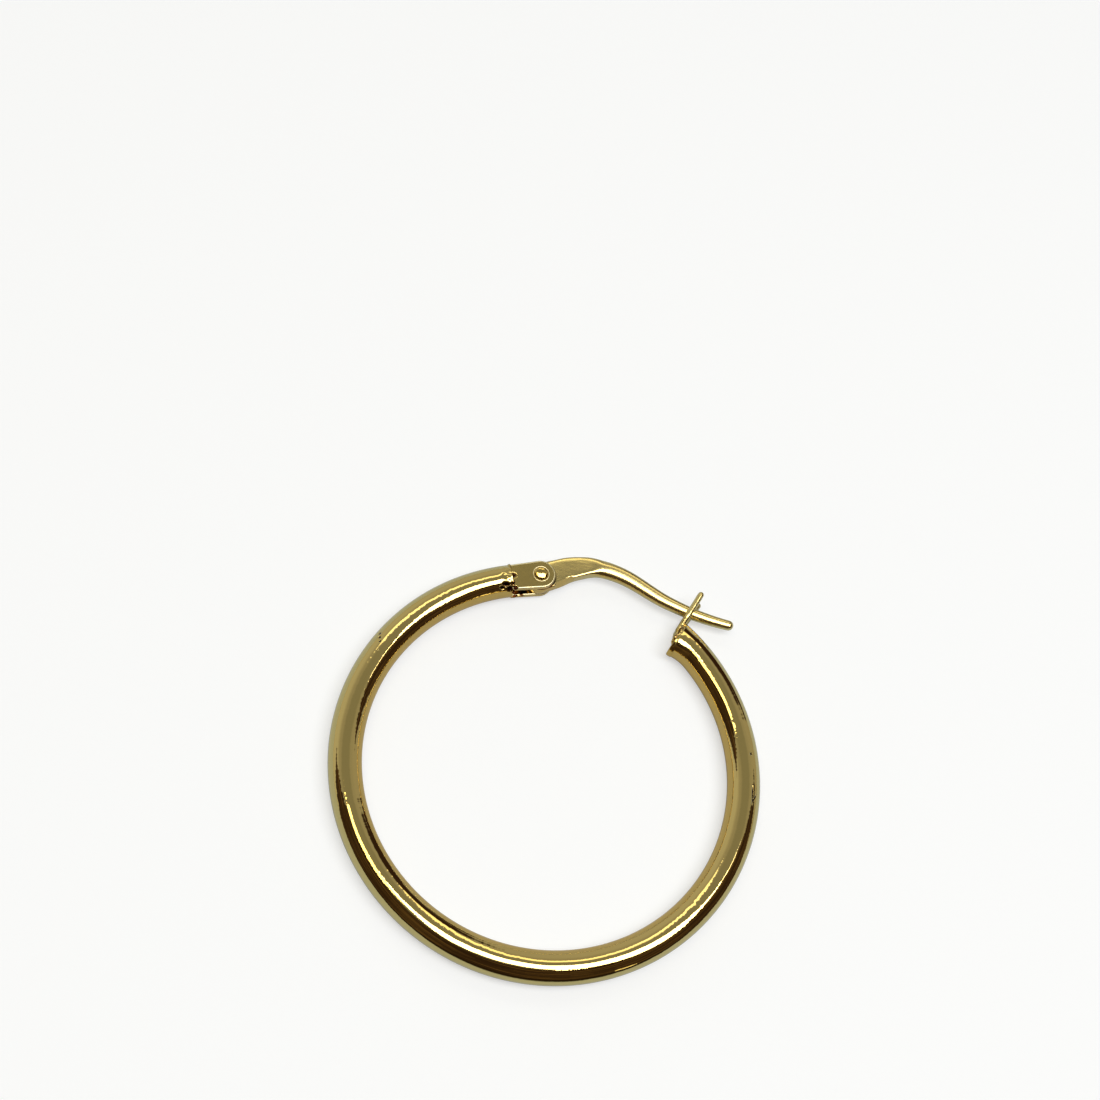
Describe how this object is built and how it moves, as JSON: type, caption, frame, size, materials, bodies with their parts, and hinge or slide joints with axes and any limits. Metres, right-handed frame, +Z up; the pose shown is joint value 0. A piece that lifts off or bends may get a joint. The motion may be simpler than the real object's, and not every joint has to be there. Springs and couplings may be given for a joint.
{
  "type": "hoop earring",
  "caption": "Hollow round-tube hoop earring with a hinged arched ear wire that closes into an upright forked catch.",
  "frame": {"origin": "centre of the hoop, on the surface that the tube lies on", "axes": "+Z up through the hoop, +Y towards the hinge and the ear wire, +X towards the catch side"},
  "size_m": [0.03, 0.0307, 0.0023],
  "materials": {
    "polished_gold": "mirror-polished yellow gold of medium carat with a fine ripple along the tube",
    "rivet_gold": "polished yellow gold, a little darker round the edge of the head",
    "drawn_gold": "polished drawn yellow gold wire with light marks along its length"
  },
  "bodies": {
    "hoop": {"hoop": "polished_gold", "hinge_rivet": "rivet_gold"},
    "ear_wire": {"ear_wire": "drawn_gold"}
  },
  "joints": [
    {"name": "ear_wire_hinge", "type": "hinge", "parent": "hoop", "child": "ear_wire", "pos_m": [-0.00061, 0.01394, 0.00115], "axis": [0, 0, 1], "range_deg": [0, 90]}
  ]
}
